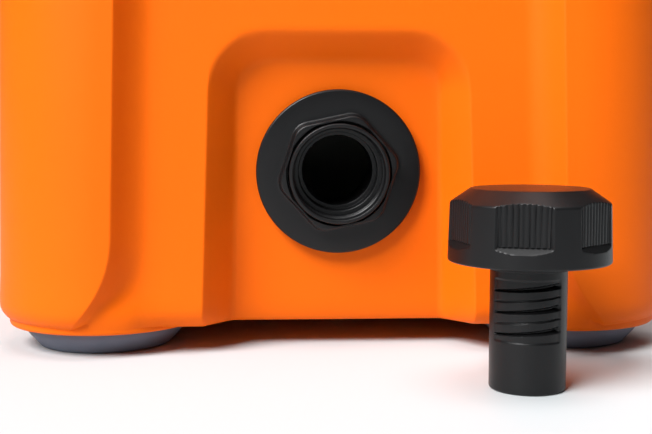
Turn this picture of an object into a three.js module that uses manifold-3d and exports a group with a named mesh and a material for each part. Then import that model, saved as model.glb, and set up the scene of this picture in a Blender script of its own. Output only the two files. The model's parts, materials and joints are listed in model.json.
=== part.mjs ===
// Insulated beverage dispenser: a rounded-square, double-walled, foam-filled tub on four rubber feet,
// with a lift-off lid held by two rubber latches, an open threaded port low in the front wall, and the
// port's screw plug standing on the floor in front of it.
// Millimetres, +Z up, front facing -Y. The origin is on the floor under the middle of the whole object,
// with the loose plug counted in.

import * as THREE from 'three';
import { mergeVertices } from 'three/addons/utils/BufferGeometryUtils.js';
import Module from 'manifold-3d';

const wasm = await Module();
wasm.setup();

// Clearances shared by pieces that touch.
const seatGap = 0.3;
const fitGap = 0.5;
const cutOver = 20;

// Tub outside, measured at its foot and leaning in towards the rim.
const tubHalf = 173;
const tubCornerRadius = 58;
const tubBottomZ = 13;
const tubTopZ = 432;
const tubDraftDeg = 1.2;
const tubBottomRound = 9;
const shellWall = 4;
const wallThick = 52;
const wallLean = Math.tan(THREE.MathUtils.degToRad(tubDraftDeg));
const rimHalf = tubHalf - (tubTopZ - tubBottomZ) * wallLean;

// Recessed panel on each side, between the corner columns.
const columnWidth = 84;
const columnTaper = 5;
const panelDepth = 12;
const panelWallRun = 15;
const panelBelowRim = 40;
const panelFlareHeight = 49;
const panelFlare = 24;
const panelCornerRadius = 22;
const panelHalfTop = tubHalf - columnWidth;
const panelHalfBottom = panelHalfTop + columnTaper;
const panelTopZ = tubTopZ - panelBelowRim;
const panelFlareZ = tubBottomZ + panelFlareHeight;

// Screw plug: a hollow-ended stem with thread grooves, under a cap with flat grips.
const plugX = 76;
const plugAhead = 55;
const plugStemRadius = 16.3;
const plugStemLength = 54.7;
const plugStemWall = 3;
const plugHollowDepth = 6;
const plugTipChamfer = 1;
const plugCapRadius = 34.4;
const plugCapShoulderRadius = plugCapRadius - 0.8;
const plugCapTopRadius = plugCapRadius - 9.2;
const plugCapHeight = 30.7;
const plugCapChamfer = 7;
const plugGripCount = 6;
const plugGripHalf = 11.5;
const plugGripDepth = 3.2;
const plugGripLow = 7.5;
const plugGripHigh = 24;
const plugGripTurnDeg = -15.8;
const plugGrooveDepth = 1.2;
const plugGrooveHeight = 1.6;
const plugGrooveCount = 6;
const plugGroovePitch = 4.6;
const plugGrooveFirstZ = 21.5;
const plugGasketThick = 3;
const plugGasketProud = 1.9;
const plugThreadGap = 0.5;
const plugGasketRadius = plugStemRadius + plugGasketProud;

// Port fitting: tube with an inner flange, an outer flange nut, and two gaskets. The plug fits the tube.
const tubeWall = 7.7;
const tubeMouthWall = 1.9;
const tubeMouthDepth = 11;
const tubeStepWidth = 2.1;
const tubeStepDepth = 4;
const tubeProud = 16;
const tubeFlangeWidth = 8.5;
const tubeFlangeThick = 5;
const tubeBoreRadius = plugStemRadius + plugThreadGap;
const tubeOuterRadius = tubeBoreRadius + tubeWall;
const tubeMouthRadius = tubeOuterRadius - tubeMouthWall;
const tubeStepRadius = tubeBoreRadius + tubeStepWidth;
const tubeFlangeRadius = tubeOuterRadius + tubeFlangeWidth;
const nutMouthGap = 1.1;
const nutHexWall = 5.1;
const nutHexRoundness = 9;
const nutHexProud = 13;
const nutHexTurnDeg = 12;
const nutFlangeWidth = 11;
const nutFlangeThick = 3.6;
const nutFlangeEdge = 1.2;
const nutHexEdge = 1;
const nutCollarDepth = 5;
const nutHoleRadius = tubeOuterRadius + nutMouthGap;
const nutHexCornerRadius = tubeOuterRadius + nutHexWall;
const nutFlangeRadius = nutHexCornerRadius + nutFlangeWidth;
const gasketThick = 2;
const gasketInset = 3.6;
const innerGasketInset = 1;
const gasketRadius = nutFlangeRadius - gasketInset;
const linerBossProud = 4;
const linerBossRadius = tubeFlangeRadius + linerBossProud;

// Arched recess around the port, with a tilted floor for the fitting to seat on.
const portZ = 89;
const portTiltDeg = 3.5;
const archDepth = 17;
const archSideRoom = 10.4;
const archTopRoom = 15.4;
const archCornerRadius = 17;
const archWallRun = 13;
const archHalf = nutFlangeRadius + archSideRoom;
const archAbovePort = nutFlangeRadius + archTopRoom;

// Tub inside.
const cavityHalf = tubHalf - wallThick;
const cavityCornerRadius = 30;
const cavityFloorHeight = 33;
const cavityFloorZ = tubBottomZ + cavityFloorHeight;
const cavityFloorRound = 8;
const linerWall = 3;
const linerFlangeThick = 4;

// Feet and the round bosses that they are screwed to.
const footInset = 54;
const footRadius = 40.4;
const footFlare = 7;
const footFlareHeight = 7;
const footBossLap = 8.1;
const footBossRadius = footRadius + footBossLap;
const footBossProud = 1.4;
const footBossHeight = 15;
const footBossBottomZ = tubBottomZ - footBossProud;
const footBossTopZ = footBossBottomZ + footBossHeight;
const screwRadius = 2.5;
const screwHeadRadius = 5.5;
const screwHeadThick = 3;
const screwHeadInset = 3;
const screwTipLength = 2;
const screwTipCover = 5;
const screwTipZ = footBossTopZ - screwTipCover;

// Lid, overhanging the tub's rim a little all round and sealed by a square gasket.
const lidOverhang = 5.8;
const lidHalf = rimHalf + lidOverhang;
const lidCornerRadius = tubCornerRadius - 1;
const lidGasketThick = 3;
const lidGasketOutset = 23;
const lidGasketWidth = 9;
const lidGasketMid = cavityHalf + lidGasketOutset;
const lidHeight = 59.4;
const lidBottomZ = tubTopZ + lidGasketThick + 2 * seatGap;
const lidTopZ = lidBottomZ + lidHeight;
const lidTopRound = 10;
const lidWall = 4;
const lidLinerThick = 4;
const lidPlugDrop = 12;
const lidPlugGap = 6;
const lidPlugRound = 2;

// Latches, their pins and the pockets that they hang in. They hang clear of the tub's side.
const latchWidth = 44;
const latchBarHeight = 14;
const latchBarThick = 7;
const latchBarSideGap = 4;
const latchBarLap = 2;
const latchStrapThick = 5.5;
const latchLength = 72;
const pinRadius = 4;
const pinGrip = 6;
const pinInset = 7;
const pinAboveLidFoot = 22.4;
const pinZ = lidBottomZ + pinAboveLidFoot;
const latchEyeWall = 4.5;
const latchEyeRadius = pinRadius + latchEyeWall;
const socketWall = 3;
const socketHeight = 22;
const socketFaceInset = 1;
const pocketHalf = 42;
const pocketAbovePin = 16;
const pocketTopZ = pinZ + pocketAbovePin;
const pocketDepth = 20;
const latchBarWidth = 2 * (pocketHalf - latchBarSideGap);

// Hand grips moulded into the left and right sides.
const gripHalf = 62;
const gripBelowRim = 32;
const gripHeight = 48;
const gripBackFoam = 20;
const gripDepth = wallThick - gripBackFoam;
const gripWallRun = 8;
const gripTopZ = tubTopZ - gripBelowRim;
const gripBottomZ = gripTopZ - gripHeight;

const archPlaneInset = panelDepth + archDepth;
const tubCentreY = (plugAhead + plugCapRadius) / 2;
const plugY = tubCentreY - tubHalf - plugAhead;
const sides = [0, 1, 2, 3].map((turn) => turn * Math.PI / 2);
const corners = [['front_left', -1, -1], ['front_right', 1, -1], ['back_left', -1, 1], ['back_right', 1, 1]];

const orangePlastic = { color: 0xfc7c10, roughness: 0.55, metalness: 0 };
const palePlastic = { color: 0xd9d6cf, roughness: 0.5, metalness: 0 };
const foam = { color: 0xe8d9a8, roughness: 0.95, metalness: 0 };
const blackPlastic = { color: 0x2b2b2d, roughness: 0.5, metalness: 0 };
const greyRubber = { color: 0x7c7f88, roughness: 0.8, metalness: 0 };
const blackRubber = { color: 0x1f1f21, roughness: 0.85, metalness: 0 };
const steel = { color: 0xb9bcc0, roughness: 0.35, metalness: 1 };

// A closed three.js geometry as a solid that can be joined and cut.
function solid(geometry) {
  const bare = geometry.clone();
  bare.deleteAttribute('normal');
  bare.deleteAttribute('uv');
  const merged = mergeVertices(bare, 1e-4);
  const vertProperties = Float32Array.from(merged.attributes.position.array);
  const triVerts = Uint32Array.from(merged.index.array);
  return new wasm.Manifold(new wasm.Mesh({ numProp: 3, vertProperties, triVerts }));
}

// The solid's surface as a three.js geometry again.
function surface(body) {
  const mesh = body.getMesh();
  const geometry = new THREE.BufferGeometry();
  geometry.setAttribute('position', new THREE.BufferAttribute(Float32Array.from(mesh.vertProperties), 3));
  geometry.setIndex(new THREE.BufferAttribute(Uint32Array.from(mesh.triVerts), 1));
  geometry.computeVertexNormals();
  return geometry;
}

function part(name, body, finish) {
  const mesh = new THREE.Mesh(surface(body), new THREE.MeshStandardMaterial(finish));
  mesh.name = name;
  return mesh;
}

function cutAll(body, cutters) {
  return cutters.reduce((left, cutter) => left.subtract(cutter), body);
}

function joinAll(body, extras) {
  return extras.reduce((whole, extra) => whole.add(extra), body);
}

// Square outline with round corners, centred.
function roundSquare(half, radius) {
  const shape = new THREE.Shape();
  const reach = half - radius;
  shape.absarc(reach, reach, radius, 0, Math.PI / 2);
  shape.absarc(-reach, reach, radius, Math.PI / 2, Math.PI);
  shape.absarc(-reach, -reach, radius, Math.PI, Math.PI * 1.5);
  shape.absarc(reach, -reach, radius, Math.PI * 1.5, Math.PI * 2);
  shape.closePath();
  return shape;
}

// Upright prism between two heights, its lower and upper edges taken off by the round given.
function prism(shape, bottomZ, topZ, round = 0, roundSteps = 2, curveSegments = 6) {
  const geometry = new THREE.ExtrudeGeometry(shape, {
    depth: topZ - bottomZ - 2 * round,
    curveSegments,
    bevelEnabled: round > 0,
    bevelThickness: round,
    bevelSize: round,
    bevelOffset: -round,
    bevelSegments: roundSteps,
  });
  return geometry.translate(0, 0, bottomZ + round);
}

function box(width, depth, height, x, y, z) {
  return new THREE.BoxGeometry(width, depth, height).translate(x, y, z);
}

// Turned piece about +Z from an outline of (radius, height) points.
function turned(outline, segments = 36) {
  const points = outline.map(([radius, height]) => new THREE.Vector2(radius, height));
  return new THREE.LatheGeometry(points, segments).rotateX(Math.PI / 2);
}

function disc(radius, bottomZ, topZ, segments = 28) {
  return turned([[0, bottomZ], [radius, bottomZ], [radius, topZ], [0, topZ]], segments);
}

function washer(innerRadius, outerRadius, bottomZ, topZ, segments = 36) {
  const outline = [[innerRadius, bottomZ], [outerRadius, bottomZ], [outerRadius, topZ], [innerRadius, topZ]];
  return turned([...outline, outline[0]], segments);
}

// Cutter for a recess in the front wall. The outline is the recess floor; its walls open outwards by
// wallRun over wallDepth, and the floor lies at floorY.
function frontCutter(shape, floorY, wallDepth, wallRun) {
  const geometry = new THREE.ExtrudeGeometry(shape, {
    depth: cutOver * 2,
    curveSegments: 4,
    bevelEnabled: true,
    bevelThickness: wallDepth,
    bevelSize: wallRun,
    bevelSegments: 1,
  });
  return geometry.rotateX(Math.PI / 2).translate(0, floorY - wallDepth, 0);
}

// Outline of a side panel: straight edges that open out at the foot, and round upper corners.
function panelShape(grow) {
  const bottom = panelHalfBottom + grow;
  const top = panelHalfTop + grow;
  const topZ = panelTopZ + grow;
  const flared = bottom + panelFlare;
  const shape = new THREE.Shape();
  shape.moveTo(-flared, -cutOver);
  shape.lineTo(flared, -cutOver);
  shape.lineTo(flared, tubBottomZ);
  shape.quadraticCurveTo(bottom + panelFlare / 6, (panelFlareZ + tubBottomZ) / 2, bottom, panelFlareZ);
  shape.lineTo(top, topZ - panelCornerRadius);
  shape.quadraticCurveTo(top, topZ, top - panelCornerRadius, topZ);
  shape.lineTo(-top + panelCornerRadius, topZ);
  shape.quadraticCurveTo(-top, topZ, -top, topZ - panelCornerRadius);
  shape.lineTo(-bottom, panelFlareZ);
  shape.quadraticCurveTo(-bottom - panelFlare / 6, (panelFlareZ + tubBottomZ) / 2, -flared, tubBottomZ);
  shape.closePath();
  return shape;
}

// Outline of the arch around the port, open through the foot of the wall.
function archShape(grow) {
  const half = archHalf + grow;
  const top = archAbovePort + grow;
  const foot = -portZ - cutOver;
  const shape = new THREE.Shape();
  shape.moveTo(-half, foot);
  shape.lineTo(half, foot);
  shape.absarc(half - archCornerRadius, top - archCornerRadius, archCornerRadius, 0, Math.PI / 2);
  shape.absarc(-half + archCornerRadius, top - archCornerRadius, archCornerRadius, Math.PI / 2, Math.PI);
  shape.closePath();
  return shape;
}

function gripShape(grow) {
  const shape = new THREE.Shape();
  shape.moveTo(-gripHalf - grow, gripBottomZ - grow);
  shape.lineTo(gripHalf + grow, gripBottomZ - grow);
  shape.lineTo(gripHalf + grow, gripTopZ + grow);
  shape.lineTo(-gripHalf - grow, gripTopZ + grow);
  shape.closePath();
  return shape;
}

// Leans upright walls in towards the rim.
function lean(geometry) {
  const place = geometry.attributes.position;
  for (let i = 0; i < place.count; i += 1) {
    const shrink = 1 - (place.getZ(i) - tubBottomZ) * wallLean / tubHalf;
    place.setXY(i, place.getX(i) * shrink, place.getY(i) * shrink);
  }
  return geometry;
}

// Port frame: origin on the recess floor at the port's axis, +Z out of the tub, tilted down.
const archFloorY = -tubHalf + archPlaneInset + (portZ - tubBottomZ) * wallLean;
const portTurn = new THREE.Matrix4().makeRotationX(Math.PI / 2 + THREE.MathUtils.degToRad(portTiltDeg));
const portFrame = new THREE.Matrix4().makeTranslation(0, archFloorY, portZ).multiply(portTurn);

function onPort(geometry) {
  return geometry.applyMatrix4(portFrame);
}

function archCutter(grow) {
  const cutter = frontCutter(archShape(grow), grow, archDepth, archWallRun);
  cutter.rotateX(THREE.MathUtils.degToRad(portTiltDeg));
  return cutter.translate(0, archFloorY, portZ);
}

// The tub's outer form, shrunk by an inset, with its panels, port recess and hand grips.
function tubForm(inset, topZ) {
  const half = tubHalf - inset;
  const outline = roundSquare(half, tubCornerRadius - inset);
  const block = solid(prism(outline, tubBottomZ + inset, tubTopZ + cutOver, tubBottomRound));
  const floorY = -tubHalf + panelDepth + inset;
  const panels = sides.map((turn) => {
    const cutter = frontCutter(panelShape(inset), floorY, panelDepth, panelWallRun);
    return solid(cutter.rotateZ(turn));
  });
  const grips = [sides[1], sides[3]].map((turn) => {
    const cutter = frontCutter(gripShape(inset), -tubHalf + gripDepth + inset, gripDepth, gripWallRun);
    return solid(cutter.rotateZ(turn));
  });
  const leaning = solid(lean(surface(cutAll(block, [...panels, ...grips]))));
  const above = solid(box(4 * tubHalf, 4 * tubHalf, 4 * cutOver, 0, 0, topZ + 2 * cutOver));
  return cutAll(leaning, [solid(archCutter(inset)), above]);
}

function cavityForm(grow, bottomZ, topZ) {
  const outline = roundSquare(cavityHalf + grow, cavityCornerRadius + grow);
  return solid(prism(outline, bottomZ, topZ, cavityFloorRound));
}

function footCentre(sideX, sideY) {
  const reach = tubHalf - footInset;
  return [sideX * reach, sideY * reach];
}

function atFeet(geometry) {
  return corners.map(([, sideX, sideY]) => {
    const [x, y] = footCentre(sideX, sideY);
    return solid(geometry.clone().translate(x, y, 0));
  });
}

function tubShell() {
  const hollow = tubForm(shellWall, tubTopZ + cutOver);
  const bosses = atFeet(disc(footBossRadius, footBossBottomZ, footBossTopZ));
  const holes = atFeet(disc(screwRadius + seatGap, 0, screwTipZ + 1, 12));
  const portHole = solid(onPort(disc(tubeOuterRadius + fitGap, -archPlaneInset, cutOver)));
  return cutAll(joinAll(tubForm(0, tubTopZ).subtract(hollow), bosses), [...holes, portHole]);
}

function tubFoam() {
  const inset = shellWall + seatGap;
  const flangeUnderZ = tubTopZ - linerFlangeThick - 2 * seatGap;
  const bottomZ = cavityFloorZ - linerWall - seatGap;
  const cavity = cavityForm(linerWall + seatGap, bottomZ, tubTopZ + 2 * cutOver);
  const bosses = atFeet(disc(footBossRadius + seatGap, 0, footBossTopZ + seatGap));
  const portHole = solid(onPort(disc(linerBossRadius + seatGap, -3 * archPlaneInset, cutOver)));
  return cutAll(tubForm(inset, flangeUnderZ), [cavity, ...bosses, portHole]);
}

// Depth of the cavity wall behind the recess floor, along the port's axis.
const cavityWallDepth = -cavityHalf - archFloorY;

function tubLiner() {
  const outside = cavityForm(linerWall, cavityFloorZ - linerWall, tubTopZ + cutOver);
  const inside = cavityForm(0, cavityFloorZ, tubTopZ + 2 * cutOver);
  const flangeTopZ = tubTopZ - seatGap;
  const flangeForm = tubForm(shellWall + seatGap, flangeTopZ);
  const belowZ = flangeTopZ - linerFlangeThick - tubTopZ / 2;
  const belowFlange = solid(box(4 * tubHalf, 4 * tubHalf, tubTopZ, 0, 0, belowZ));
  const flange = flangeForm.subtract(belowFlange);
  const above = solid(box(4 * tubHalf, 4 * tubHalf, 4 * cutOver, 0, 0, flangeTopZ + 2 * cutOver));
  const bossBack = -cavityWallDepth - linerBossProud;
  const boss = solid(onPort(disc(linerBossRadius, bossBack, -shellWall - 2 * seatGap)));
  const portHole = solid(onPort(disc(tubeOuterRadius + fitGap, -3 * archPlaneInset, cutOver)));
  return cutAll(outside.add(flange), [inside, above]).add(boss).subtract(portHole);
}

function foot(x, y) {
  const top = footBossBottomZ - seatGap;
  const recess = screwHeadInset + screwHeadThick + seatGap;
  const bottom = footRadius - footFlare;
  const outline = [[0, 0], [bottom, 0], [footRadius, footFlareHeight], [footRadius, top], [0, top]];
  const pad = solid(turned(outline));
  const headHole = solid(disc(screwHeadRadius + fitGap, -1, recess, 20));
  const shankHole = solid(disc(screwRadius + fitGap, -1, top + 1, 12));
  return pad.subtract(headHole).subtract(shankHole).translate([x, y, 0]);
}

function footScrew(x, y) {
  const headBottom = screwHeadInset;
  const headTop = headBottom + screwHeadThick;
  const outline = [
    [0, headBottom], [screwHeadRadius, headBottom], [screwHeadRadius, headTop],
    [screwRadius, headTop], [screwRadius, screwTipZ - screwTipLength], [0, screwTipZ],
  ];
  return solid(turned(outline, 16)).translate([x, y, 0]);
}

// Hexagon with round corners, sized by its corner circle.
function roundHexagon(cornerRadius, roundness) {
  const shape = new THREE.Shape();
  const reach = cornerRadius - roundness;
  for (let corner = 0; corner < 6; corner += 1) {
    const middle = corner * Math.PI / 3;
    const x = reach * Math.cos(middle);
    const y = reach * Math.sin(middle);
    shape.absarc(x, y, roundness, middle - Math.PI / 6, middle + Math.PI / 6);
  }
  shape.closePath();
  return shape;
}

function portNut() {
  const back = gasketThick + 2 * seatGap;
  const front = back + nutFlangeThick;
  const flange = solid(turned([
    [0, back], [nutFlangeRadius - nutFlangeEdge, back], [nutFlangeRadius, back + nutFlangeEdge],
    [nutFlangeRadius, front - nutFlangeEdge], [nutFlangeRadius - nutFlangeEdge, front], [0, front],
  ], 40));
  const hexagon = roundHexagon(nutHexCornerRadius, nutHexRoundness);
  const hexGeometry = prism(hexagon, back, nutHexProud, nutHexEdge, 1, 3);
  const hex = solid(hexGeometry.rotateZ(THREE.MathUtils.degToRad(nutHexTurnDeg)));
  const collarHole = solid(disc(tubeOuterRadius + seatGap, -1, back + nutCollarDepth, 40));
  const mouthHole = solid(disc(nutHoleRadius, back + nutCollarDepth - 1, nutHexProud + 1, 40));
  return flange.add(hex).subtract(collarHole).subtract(mouthHole).transform(portFrame.elements);
}

function portTube() {
  const wallFace = -cavityWallDepth - linerBossProud - seatGap - gasketThick - seatGap;
  const innerEnd = wallFace - tubeFlangeThick;
  const stepZ = tubeProud - tubeMouthDepth;
  const boreZ = stepZ - tubeStepDepth;
  const outline = [
    [tubeBoreRadius, innerEnd], [tubeFlangeRadius, innerEnd], [tubeFlangeRadius, wallFace],
    [tubeOuterRadius, wallFace], [tubeOuterRadius, tubeProud], [tubeMouthRadius, tubeProud],
    [tubeMouthRadius, stepZ], [tubeStepRadius, stepZ], [tubeStepRadius, boreZ], [tubeBoreRadius, boreZ],
  ];
  return solid(turned([...outline, outline[0]], 40)).transform(portFrame.elements);
}

function portOuterGasket() {
  const ring = washer(tubeOuterRadius + seatGap, gasketRadius, seatGap, seatGap + gasketThick);
  return solid(onPort(ring));
}

function portInnerGasket() {
  const back = -cavityWallDepth - linerBossProud - seatGap - gasketThick;
  const outer = tubeFlangeRadius - innerGasketInset;
  return solid(onPort(washer(tubeOuterRadius + seatGap, outer, back, back + gasketThick)));
}

// Plug, standing on the open end of its stem with its cap up.
function plugBody() {
  const capTop = plugStemLength + plugCapHeight;
  const bore = plugStemRadius - plugStemWall;
  const outline = [
    [0, plugHollowDepth], [bore, plugHollowDepth], [bore, 0],
    [plugStemRadius - plugTipChamfer, 0], [plugStemRadius, plugTipChamfer],
    [plugStemRadius, plugStemLength], [plugCapRadius, plugStemLength],
    [plugCapShoulderRadius, capTop - plugCapChamfer], [plugCapTopRadius, capTop], [0, capTop],
  ];
  let body = solid(turned(outline, 40));
  const gripHeight = plugGripHigh - plugGripLow;
  const gripZ = plugStemLength + (plugGripHigh + plugGripLow) / 2;
  for (let grip = 0; grip < plugGripCount; grip += 1) {
    const turn = grip * 2 * Math.PI / plugGripCount + THREE.MathUtils.degToRad(plugGripTurnDeg);
    const gripY = -plugCapRadius + plugGripDepth - cutOver / 2;
    const cutter = box(2 * plugGripHalf, cutOver, gripHeight, 0, gripY, gripZ);
    body = body.subtract(solid(cutter.rotateZ(turn)));
  }
  for (let groove = 0; groove < plugGrooveCount; groove += 1) {
    const z = plugGrooveFirstZ + groove * plugGroovePitch;
    const y = plugStemRadius - plugGrooveDepth + cutOver / 2;
    const cutter = box(2 * plugStemRadius, cutOver, plugGrooveHeight, 0, y, z);
    body = body.subtract(solid(cutter.clone())).subtract(solid(cutter.rotateZ(Math.PI)));
  }
  return body.translate([plugX, plugY, 0]);
}

function plugGasket() {
  const top = plugStemLength - seatGap;
  const ring = washer(plugStemRadius + seatGap, plugGasketRadius, top - plugGasketThick, top, 32);
  return solid(ring).translate([plugX, plugY, 0]);
}

// The lid's outer form, shrunk by an inset, with the latch pockets taken out of its front and back.
function lidForm(inset, bottomZ, topZ) {
  const outline = roundSquare(lidHalf - inset, lidCornerRadius - inset);
  const block = solid(prism(outline, bottomZ - 2 * lidTopRound, topZ, lidTopRound, 3));
  const below = solid(box(4 * lidHalf, 4 * lidHalf, 4 * cutOver, 0, 0, bottomZ - 2 * cutOver));
  const pockets = [-1, 1].map((side) => {
    const depth = pocketDepth + inset + cutOver;
    const middle = side * (lidHalf - pocketDepth - inset + depth / 2);
    const high = pocketTopZ + inset;
    const low = bottomZ - cutOver;
    return solid(box(2 * (pocketHalf + inset), depth, high - low, 0, middle, (high + low) / 2));
  });
  return cutAll(block, [below, ...pockets]);
}

function alongX(radius, halfLength, segments = 20) {
  return new THREE.CylinderGeometry(radius, radius, 2 * halfLength, segments).rotateZ(Math.PI / 2);
}

function pinHoles(gap) {
  return [-1, 1].map((side) => {
    const hole = alongX(pinRadius + gap, pocketHalf + pinGrip + gap);
    return solid(hole.translate(0, side * (lidHalf - pinInset), pinZ));
  });
}

function lidShell() {
  const hollow = lidForm(lidWall, lidBottomZ - cutOver, lidTopZ - lidWall);
  const width = pinGrip + socketWall;
  const sockets = [-1, 1].flatMap((sideY) => [-1, 1].map((sideX) => {
    const x = sideX * (pocketHalf + width / 2);
    const y = sideY * (lidHalf - pocketDepth / 2 - socketFaceInset);
    return solid(box(width, pocketDepth, socketHeight, x, y, pinZ));
  }));
  const shell = lidForm(0, lidBottomZ, lidTopZ).subtract(hollow);
  return cutAll(joinAll(shell, sockets), pinHoles(seatGap));
}

function lidLiner() {
  const inset = lidWall + seatGap;
  const plateTopZ = lidBottomZ + lidLinerThick;
  const above = solid(box(4 * lidHalf, 4 * lidHalf, 8 * cutOver, 0, 0, plateTopZ + 4 * cutOver));
  const plate = lidForm(inset, lidBottomZ, lidTopZ).subtract(above);
  const plugHalf = cavityHalf - lidPlugGap;
  const plugOutline = roundSquare(plugHalf, cavityCornerRadius - lidPlugGap);
  const plug = solid(prism(plugOutline, lidBottomZ - lidPlugDrop, plateTopZ, lidPlugRound, 1));
  return plate.add(plug);
}

function lidFoam() {
  const inset = lidWall + seatGap;
  const bottomZ = lidBottomZ + lidLinerThick + seatGap;
  const slab = lidForm(inset, bottomZ, lidTopZ - lidWall - seatGap);
  const clear = [-1, 1].map((side) => {
    const width = 2 * (pocketHalf + pinGrip + socketWall + fitGap);
    const depth = 2 * (pocketDepth + socketFaceInset + fitGap);
    return solid(box(width, depth, socketHeight + 2 * fitGap, 0, side * lidHalf, pinZ));
  });
  return cutAll(slab, clear);
}

function lidGasket() {
  const outerHalf = lidGasketMid + lidGasketWidth / 2;
  const outline = roundSquare(outerHalf, cavityCornerRadius + outerHalf - cavityHalf);
  const innerHalf = outerHalf - lidGasketWidth;
  outline.holes.push(roundSquare(innerHalf, cavityCornerRadius + innerHalf - cavityHalf));
  return solid(prism(outline, tubTopZ + seatGap, lidBottomZ - seatGap));
}

function latchPin(side) {
  const pin = alongX(pinRadius, pocketHalf + pinGrip - seatGap);
  return solid(pin.translate(0, side * (lidHalf - pinInset), pinZ));
}

// Rubber latch hanging from its pin: an eye, a strap and a pull bar.
function latch(side) {
  const inner = -latchEyeRadius + latchStrapThick;
  const eyeMeetsStrap = -Math.sqrt(latchEyeRadius ** 2 - inner ** 2);
  const shape = new THREE.Shape();
  shape.moveTo(-latchEyeRadius, 0);
  shape.lineTo(-latchEyeRadius, -latchLength);
  shape.lineTo(inner, -latchLength);
  shape.lineTo(inner, eyeMeetsStrap);
  shape.absarc(0, 0, latchEyeRadius, Math.atan2(eyeMeetsStrap, inner), Math.PI);
  const eye = new THREE.Path();
  eye.absarc(0, 0, pinRadius + seatGap, 0, Math.PI * 2, true);
  shape.holes.push(eye);
  const extrusion = { depth: latchWidth, curveSegments: 10, bevelEnabled: false };
  const strap = new THREE.ExtrudeGeometry(shape, extrusion);
  strap.translate(0, 0, -latchWidth / 2).rotateX(Math.PI / 2).rotateZ(Math.PI / 2);
  const barY = inner - latchBarThick / 2;
  const barZ = -latchLength - latchBarHeight / 2 + latchBarLap;
  const bar = box(latchBarWidth, latchBarThick, latchBarHeight, 0, barY, barZ);
  const whole = solid(strap).add(solid(bar));
  const facing = solid(surface(whole).rotateZ(side < 0 ? 0 : Math.PI));
  return facing.translate([0, side * (lidHalf - pinInset), pinZ]);
}

const tub = new THREE.Group();
tub.position.y = tubCentreY;
tub.add(part('tub_outer_shell', tubShell(), orangePlastic));
tub.add(part('tub_foam_core', tubFoam(), foam));
tub.add(part('tub_inner_liner', tubLiner(), palePlastic));
for (const [name, sideX, sideY] of corners) {
  const [x, y] = footCentre(sideX, sideY);
  tub.add(part(`foot_${name}`, foot(x, y), greyRubber));
  tub.add(part(`foot_screw_${name}`, footScrew(x, y), steel));
}
tub.add(part('port_flange_nut', portNut(), blackPlastic));
tub.add(part('port_bulkhead_tube', portTube(), blackPlastic));
tub.add(part('port_outer_gasket', portOuterGasket(), blackRubber));
tub.add(part('port_inner_gasket', portInnerGasket(), blackRubber));
tub.add(part('lid_outer_shell', lidShell(), orangePlastic));
tub.add(part('lid_foam_core', lidFoam(), foam));
tub.add(part('lid_inner_liner', lidLiner(), palePlastic));
tub.add(part('lid_gasket', lidGasket(), blackRubber));
tub.add(part('latch_pin_front', latchPin(-1), steel));
tub.add(part('latch_pin_back', latchPin(1), steel));
tub.add(part('latch_front', latch(-1), blackRubber));
tub.add(part('latch_back', latch(1), blackRubber));

const dispenser = new THREE.Group();
dispenser.add(tub);
dispenser.add(part('plug_body', plugBody(), blackPlastic));
dispenser.add(part('plug_gasket', plugGasket(), blackRubber));

export default dispenser;
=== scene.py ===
import json
import math

import bpy
import numpy as np
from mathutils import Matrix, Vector


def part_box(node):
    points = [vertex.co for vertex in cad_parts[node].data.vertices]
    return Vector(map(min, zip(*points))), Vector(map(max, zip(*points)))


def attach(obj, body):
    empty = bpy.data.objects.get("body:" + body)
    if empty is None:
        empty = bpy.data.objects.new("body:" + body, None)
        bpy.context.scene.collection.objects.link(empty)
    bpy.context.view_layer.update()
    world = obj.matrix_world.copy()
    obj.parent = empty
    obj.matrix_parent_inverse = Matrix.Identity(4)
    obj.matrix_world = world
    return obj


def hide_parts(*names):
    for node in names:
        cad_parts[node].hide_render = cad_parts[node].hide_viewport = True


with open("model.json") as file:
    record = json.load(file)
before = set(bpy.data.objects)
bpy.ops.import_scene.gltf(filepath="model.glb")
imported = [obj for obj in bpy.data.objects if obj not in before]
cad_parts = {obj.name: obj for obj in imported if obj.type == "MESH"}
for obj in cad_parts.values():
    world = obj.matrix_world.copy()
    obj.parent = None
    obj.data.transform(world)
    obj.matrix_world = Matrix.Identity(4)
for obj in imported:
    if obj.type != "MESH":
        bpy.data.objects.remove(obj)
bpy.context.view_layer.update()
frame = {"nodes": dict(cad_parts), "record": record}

tau = 2 * math.pi
skinGap = 0.0004           # how far a skin stays off what backs it, in metres


def nodeBox(name):
    low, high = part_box(name)
    return np.array(low, float), np.array(high, float)


shellHigh = nodeBox("tub_outer_shell")[1]
plugLow, plugHigh = nodeBox("plug_body")
lidLow, lidHigh = nodeBox("lid_outer_shell")
tubCentre = np.array([0.0, (lidLow[1] + lidHigh[1]) / 2])
plugCentre = (plugLow[:2] + plugHigh[:2]) / 2

# What both the tub's skin and its fittings are placed by, in metres.
tub = {
    "half": 0.1729, "cornerRadius": 0.058, "bottom": 0.013, "top": shellHigh[2], "draft": math.radians(1.2),
    "bottomRound": 0.010, "rimRound": 0.003, "wall": 0.004, "archRoundCut": 0.75,
}
port = {"height": 0.089, "tilt": math.radians(3.5), "depth": 0.029, "holeRadius": 0.025}
portLean = (port["height"] - tub["bottom"]) * math.tan(tub["draft"])
port["y"] = tubCentre[1] - tub["half"] + port["depth"] + portLean


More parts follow.
